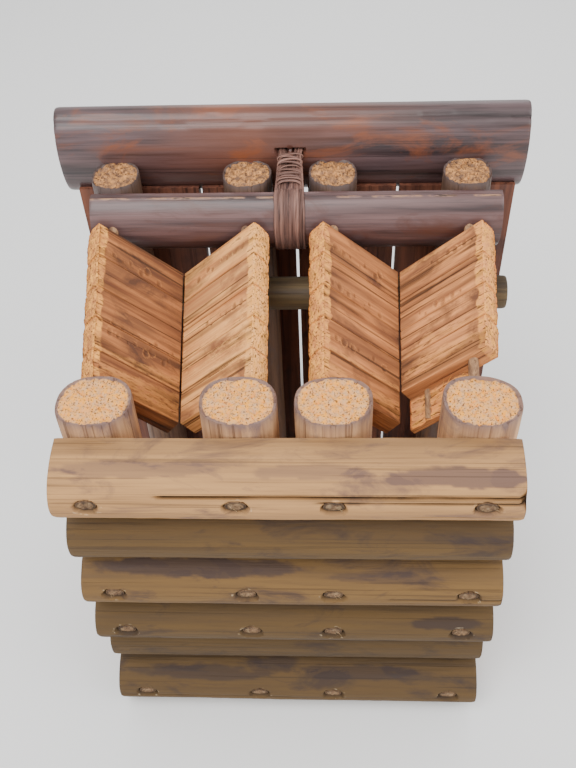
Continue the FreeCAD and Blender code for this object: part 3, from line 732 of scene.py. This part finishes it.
def cane_mesh(loops):
    """Closed cane strips: a flattened oval carried round each loop, flat side to the loop's middle."""
    vertices, grains, tones, faces, start, sides = [], [], [], [], 0, 8
    a = np.linspace(0, 2 * math.pi, sides, endpoint=False)
    for path, run, width, thick, flat_way, seed in loops:
        n = len(path)
        tangent = np.roll(path, -1, axis=0) - np.roll(path, 1, axis=0)
        tangent /= np.linalg.norm(tangent, axis=1, keepdims=True)
        wide = flat_way - np.sum(flat_way * tangent, axis=1, keepdims=True) * tangent
        wide /= np.linalg.norm(wide, axis=1, keepdims=True)
        out = np.cross(tangent, wide)
        twist = 0.25 * np.sin(run * 60 + seed * 2.0)
        ca, sa = np.cos(twist)[:, None], np.sin(twist)[:, None]
        wide, out = wide * ca + out * sa, out * ca - wide * sa
        swell = 1 + 0.12 * np.sin(run * 240 + seed)[:, None]
        ring = (path[:, None] + (width / 2 * np.cos(a))[None, :, None] * (wide * swell)[:, None]
                + (thick / 2 * np.sin(a))[None, :, None] * out[:, None])
        index = start + np.arange(n * sides).reshape(n, sides)
        nxt = np.roll(index, -1, axis=0)
        quads = np.stack([index, np.roll(index, -1, axis=1), np.roll(nxt, -1, axis=1), nxt], axis=2)
        p = ring.reshape(-1, 3)
        q = p[quads.reshape(-1, 4) - start]
        volume = (np.einsum("ij,ij->i", q[:, 0], np.cross(q[:, 1], q[:, 2])).sum()
                  + np.einsum("ij,ij->i", q[:, 0], np.cross(q[:, 2], q[:, 3])).sum())
        faces += quads.reshape(-1, 4)[:, ::-1 if volume < 0 else 1].tolist()
        vertices.append(p)
        grains.append(np.stack([np.repeat(run, sides) + seed, np.tile(np.cos(a) * width / 2, n),
                                np.tile(np.sin(a) * thick / 2, n)], axis=1))
        tones.append(np.tile((0.0, 0.25 * (math.sin(seed * 4.0) > 0.3), 0.3 * (math.sin(seed * 7.0) > 0)),
                             (n * sides, 1)))
        start += n * sides
    mesh = bpy.data.meshes.new("cane")
    mesh.from_pydata(np.concatenate(vertices).tolist(), [], faces)
    for label, values in (("grain", grains), ("tone", tones)):
        layer = mesh.attributes.new(label, "FLOAT_VECTOR", "POINT")
        layer.data.foreach_set("vector", np.concatenate(values).astype(np.float32).ravel())
    mesh.materials.append(cane_wood)
    mesh.shade_smooth()
    return mesh


strands = []
for i in range(STRANDS):
    lift = CANE_GAP + CANE_T / 2 + (0.0003 if i % 2 else 0.0)
    y, z = cane_route(lift)
    share = (i - (STRANDS - 1) / 2) / ((STRANDS - 1) / 2)
    behind = step(rail_high.y - 0.004, rail_high.y + 0.016, y)
    in_log = step(log_mid.y - log_half.y - 0.014, log_mid.y - log_half.y, y)
    spread = 0.0121 * (1 - behind) + 0.0072 * behind
    x = share * spread
    gathered = np.sign(share + 1e-9) * HOLE_X + (share - 0.5 * np.sign(share)) * 0.005
    x = np.where((z > HOLE_Z - 0.004) | (in_log > 0), x * (1 - in_log) + gathered * in_log, x)
    x = x + 0.0004 * np.sin(y * 300 + 2.3 * i)
    z = z + 0.0008 * behind * (i % 3 - 1) * (z > rail_low.z + 0.03)
    path, run = along_loop(np.stack([x, y, z], axis=1), 150)
    strands.append((path, run, CANE_W, CANE_T, np.array([[1.0, 0.0, 0.0]]), 1.7 * i))
strand_obj = bpy.data.objects.new("cane_strands", cane_mesh(strands))

TURNS = 10
turn_loops = []
neck_y0, neck_y1 = rail_high.y + 0.006, log_mid.y - log_half.y - 0.006
for n in range(TURNS):
    share = n / (TURNS - 1)
    y = neck_y0 + (neck_y1 - neck_y0) * share
    climb = (HOLE_Z - rail_high.z) * (y - rail_high.y) / (log_mid.y - log_half.y - rail_high.y)
    z = rail_high.z + CANE_GAP + climb
    a = np.linspace(0, 2 * math.pi, 60, endpoint=False)
    half_w = 0.0104 + 0.0012 * math.sin(2.2 * n)
    path = np.stack([half_w * np.sign(np.cos(a)) * np.abs(np.cos(a)) ** 0.8,
                     y + 0.0022 * math.sin(3.0 * n) * np.cos(a),
                     z + (0.0046 + 0.0007 * math.cos(n)) * np.sin(a)], axis=1)
    path, run = along_loop(path, 60)
    turn_loops.append((path, run, CANE_W, CANE_T, np.array([[0.0, 1.0, 0.0]]), 0.9 * n + 40))
turn_obj = bpy.data.objects.new("cane_turns", cane_mesh(turn_loops))
for obj, node in ((strand_obj, "lashing_strands"), (turn_obj, "lashing_turns")):
    bpy.context.scene.collection.objects.link(obj)
    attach(obj, "frame")
    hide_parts(node)

# Leaves: four sloping leaves of five planks each, threaded on a hinge rod near the ridge and
# joined by a hidden dowel near the valley. The planks are cut from the same pithy poles: fibrous
# faces, rows of round scars, and pale, crumbling ridge ends. One front plank is broken away. The
# outer leaves, 1 and 4, turn on their rods, and the inner two belong to the frame.
LEAF_SLOPE = math.radians(40.4)
LEAF_RISE = math.tan(math.radians(32.5))
LEAF_T = 0.019
ROD_DEPTH = 0.0095
ROD_R = 0.0045
LEAF_TAIL = 0.0219
SLIVER_FROM = LEAF_TAIL + ROD_R + 0.003
TORN_DEPTH = 0.0125
ALONG_STATIONS = 96
EDGE = 0.0009
# Light, deep and stain colours of the planks, one row a leaf
LEAF_COLOURS = (((186, 118, 68), (110, 62, 34), (92, 58, 40)),
                ((255, 184, 110), (196, 122, 68), (150, 96, 62)),
                ((214, 138, 80), (136, 80, 44), (110, 68, 46)),
                ((234, 156, 94), (150, 92, 54), (116, 74, 50)))

leaf_woods = [wood("leaf_wood_%d" % leaf, colour(*light), colour(*deep), colour(*stain), colour(255, 178, 84),
                   colour(58, 34, 18), gloss=0.85, cracks=0.75, bump=0.6, streak=(8.0, 170.0, 170.0))
              for leaf, (light, deep, stain) in enumerate(LEAF_COLOURS, start=1)]

# Rows of round scars: leaf, plank, place across the plank (-1 to 1), first and last share of the slope
SCARS = ((1, 5, -0.5, 0.12, 0.72), (1, 3, -0.9, 0.25, 0.95), (1, 2, 0.5, 0.2, 0.9), (2, 5, 0.0, 0.2, 0.8),
         (2, 3, 0.4, 0.2, 0.7), (3, 5, -0.2, 0.1, 0.8), (3, 4, -0.6, 0.15, 0.75), (3, 2, 0.1, 0.2, 0.8),
         (4, 5, 0.2, 0.15, 0.7), (4, 4, -0.7, 0.3, 0.8))
DARK_SEAMS = ((1, 1, 0.0), (1, 2, -0.6), (2, 2, 0.6), (3, 3, 0.5), (4, 2, -0.2), (4, 4, 0.7), (2, 4, -0.4))


def plank_outline(width, top, thick, n_face=22, n_side=14):
    """Rounded rectangle, width across by top..thick deep: straight runs joined by quarter circles."""
    w, r = width / 2 - EDGE, EDGE
    corner = np.linspace(0, math.pi / 2, 4)[1:-1]
    face = np.linspace(-w, w, n_face)
    side = np.linspace(top + r, thick - r, n_side)

    def quarter(cx, cy, turn):
        return np.stack([cx + r * np.cos(corner + turn), cy + r * np.sin(corner + turn)], axis=1)

    upper = np.stack([face, np.full(n_face, top)], axis=1)
    lower = np.stack([face[::-1], np.full(n_face, thick)], axis=1)
    far = np.stack([np.full(n_side, width / 2), side], axis=1)
    near = np.stack([np.full(n_side, -width / 2), side[::-1]], axis=1)
    return np.concatenate([upper, quarter(w, top + r, -math.pi / 2), far, quarter(w, thick - r, 0.0), lower,
                           quarter(-w, thick - r, math.pi / 2), near, quarter(-w, top + r, math.pi)])


def plank_skin(leaf, p, rod_x, side, y_low, y_high, ridge_z, length):
    """Plank: along the slope, across in y climbing with the rod, and depth below its upper face.

    Ridge ends are blunt noses, 0.9 mm u^4 with u from -1 to 1 across, roughened by noise.
    """
    seed = 5.0 * leaf + p
    torn = leaf == 4 and p == 1
    first = SLIVER_FROM if torn else 0.0
    at = np.concatenate([first + np.linspace(0, 0.012, 18),
                         np.linspace(first + 0.0135, length - 0.004, ALONG_STATIONS),
                         np.linspace(length - 0.003, length, 4)])
    width = y_high - y_low
    outline = np.repeat(plank_outline(width, 0.0, LEAF_T)[None], len(at), axis=0)
    if torn:
        tears = TORN_DEPTH + 0.004 * rough(at * 70, at * 0, 3) + 0.0035 * step(0.008, 0.0, at - first)
        outline = np.stack([plank_outline(width, float(tear), LEAF_T) for tear in tears])
    form = bar(at, outline, (0.985, 0.93, 0.82, 0.68, 0.57, 0.46, 0.35, 0.24, 0.12))
    s, y, d = form["along"], form["section"][..., 0], form["section"][..., 1]
    u = y / (width / 2)
    on_face = (form["normal"][..., 1] < -0.5) & (form["end"] == 0)
    drop = 0.0011 * noise(np.array([seed]), np.array([0.5]), 1)[0]
    push = -0.0001 - 0.0004 * on_face * (0.5 + rough(s * 30, y * 500 + 40 * p, seed))
    fine = 0.0011 * np.abs(rough(s * 22, y * 1500 + 99, seed + 3))
    push -= np.where(on_face, drop * (1 - step(0.8, 1.0, np.abs(u))) + fine, 0.0)
    push -= np.where(on_face, 0.0006 * step(0.85, 1.0, np.abs(u)) * noise(s * 60, u * 0 + p, seed), 0)
    crumble = step(0.016, 0.0, s)
    push -= 0.0013 * crumble * on_face * (0.5 + rough(s * 160, y * 160, seed + 7))
    pale = 1.15 * step(0.0125, 0.0055, s + 0.010 * rough(s * 60, y * 120, seed + 2))
    pale = np.maximum(pale, 0.55 * step(0.5, 0.8, noise(s * 16, y * 90 + seed, 31)) * on_face)
    under = form["normal"][..., 1] > 0.5
    # Painted shade: the underside, the last fifth towards the valley and the edges against the next plank are
    # darkened.
    dark = np.where(under, 0.25, 0.0) + 0.12 * step(0.8, 1.0, s / length) + 0.2 * (np.abs(u) > 0.985)
    dark += 0.5 * step(0.62, 0.82, noise(s * 12, y * 260 + 3 * p, seed + 13)) * on_face
    blot = 0.5 * step(0.55, 0.8, noise(s * 22, y * 110 + 7 * p, seed)) * on_face
    for l, k, across, s0, s1 in SCARS:
        if (l, k) == (leaf, p):
            for n, place in enumerate(np.arange(s0 * length, s1 * length, 0.0088)):
                size = 0.0020 + 0.0008 * math.sin(5.1 * n + leaf)
                off = 0.0022 * math.sin(3.3 * n)
                r = np.hypot(s - place - off, (u - across) * width / 2 + off) / size
                r = r + 0.5 * rough(s * 300, y * 300, n)
                spot = step(1.0, 0.55, r) * on_face
                dark = np.maximum(dark, 0.5 * spot)
                pale = np.maximum(pale, 0.5 * np.exp(-((r - 1.35) / 0.25) ** 2) * on_face)
                push -= 0.0006 * spot
    for l, k, across in DARK_SEAMS:
        if (l, k) == (leaf, p):
            seam = np.exp(-((u - across + 0.25 * rough(s * 20, s * 0, seed)) / 0.10) ** 2) * on_face
            push -= 0.0013 * seam
            dark = np.maximum(dark, 0.8 * seam * step(0.2, 0.5, noise(s * 30, y * 0, seed)))
    nose = 0.0009 * u ** 4 + 0.0020 * (0.5 + rough(y * 160, d * 130, seed))
    nose += 0.0012 * (2 * d / LEAF_T - 1) ** 4 + 0.0010 * (0.5 + rough(y * 900, d * 900, seed + 1))
    end_push = np.where(form["end"] < 0, -0.0018 * (0.5 + rough(y * 700, d * 700, seed)),
                        -0.0004 * (0.5 + rough(y * 400, d * 400, seed)))
    push = np.where(form["end"] != 0, end_push, push)
    pale = np.where(form["end"] < 0, 1.2, pale)
    # Painted shade: the valley end is darkened.
    dark = np.where(form["end"] > 0, 0.6, dark)
    if torn:
        pale = np.where(on_face, 0.8 + 0.6 * noise(s * 40, y * 900, 2), 0.1)
        dark = np.where(on_face, 0.5 * step(0.6, 0.9, noise(s * 30, y * 500, 8)), 0.2)
        push -= on_face * 0.0024 * noise(s * 45, y * 620, 5)
    grain = np.stack([s + 0.37 * seed, y + 0.05 * seed, d], axis=2)
    form["along"] = s + nose * step(0.02, 0.0, s)
    origin_x = rod_x - side * TAIL_RUN
    u_axis = (side * math.cos(LEAF_SLOPE), 0, -math.sin(LEAF_SLOPE))
    y_axis = (0, 1, LEAF_RISE)
    d_axis = (-side * math.sin(LEAF_SLOPE), 0, -math.cos(LEAF_SLOPE))
    xyz = placed(form, push, (origin_x, (y_low + y_high) / 2, ridge_z), (u_axis, y_axis, d_axis))
    return xyz, grain, np.stack([pale, dark, blot], axis=2)


# Run in x from the rod back to the ridge corner: tail cos a - depth sin a
TAIL_RUN = LEAF_TAIL * math.cos(LEAF_SLOPE) - ROD_DEPTH * math.sin(LEAF_SLOPE)
for leaf in range(1, 5):
    side = 1 if leaf % 2 else -1
    body = "leaf_%d" % leaf if leaf in (1, 4) else "frame"
    rod_mid = sum(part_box("hinge_rod_%d" % leaf), Vector()) / 2
    whole_low, whole_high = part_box("leaf_%d_plank_5" % leaf)
    valley = whole_high.x if side > 0 else whole_low.x
    length = (abs(valley - rod_mid.x) + TAIL_RUN) / math.cos(LEAF_SLOPE)
    for p in range(1, 6):
        low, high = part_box("leaf_%d_plank_%d" % (leaf, p))
        rod_z = rod_mid.z + LEAF_RISE * ((low.y + high.y) / 2 - rod_mid.y)
        ridge_z = rod_z + LEAF_TAIL * math.sin(LEAF_SLOPE) + ROD_DEPTH * math.cos(LEAF_SLOPE)
        skin = plank_skin(leaf, p, rod_mid.x, side, low.y, high.y, ridge_z, length)
        build("leaf_%d_board_%d" % (leaf, p), [skin], leaf_woods[leaf - 1], body,
              ["leaf_%d_plank_%d" % (leaf, p)])

# Splinters: thin torn fibres that stand up from the broken front plank of the fourth leaf. They
# grow out of its torn face and lift with the leaf.
SPLINTERS = 26
splinters = []
low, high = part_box("leaf_4_plank_1")
for n in range(SPLINTERS):
    share = n / (SPLINTERS - 1)
    down = SLIVER_FROM + 0.004 + share * (length - SLIVER_FROM - 0.02)
    across = (0.5 + 0.42 * math.sin(7.7 * n)) * (high.y - low.y)
    rod_z = rod_mid.z + LEAF_RISE * (low.y + across - rod_mid.y)
    run, fall = down - LEAF_TAIL, TORN_DEPTH - ROD_DEPTH
    start = (rod_mid.x - run * math.cos(LEAF_SLOPE) + fall * math.sin(LEAF_SLOPE), low.y + across,
             rod_z - run * math.sin(LEAF_SLOPE) - fall * math.cos(LEAF_SLOPE))
    lean = (0.8 + 0.4 * math.sin(3 * n), 0.5 * math.cos(5 * n), 0.95)
    splinters.append(whisker(start, lean, 0.004 + 0.005 * abs(math.sin(2.3 * n)), 0.0008, n + 30))
build("torn_plank_splinters", splinters, leaf_woods[3], "leaf_4")
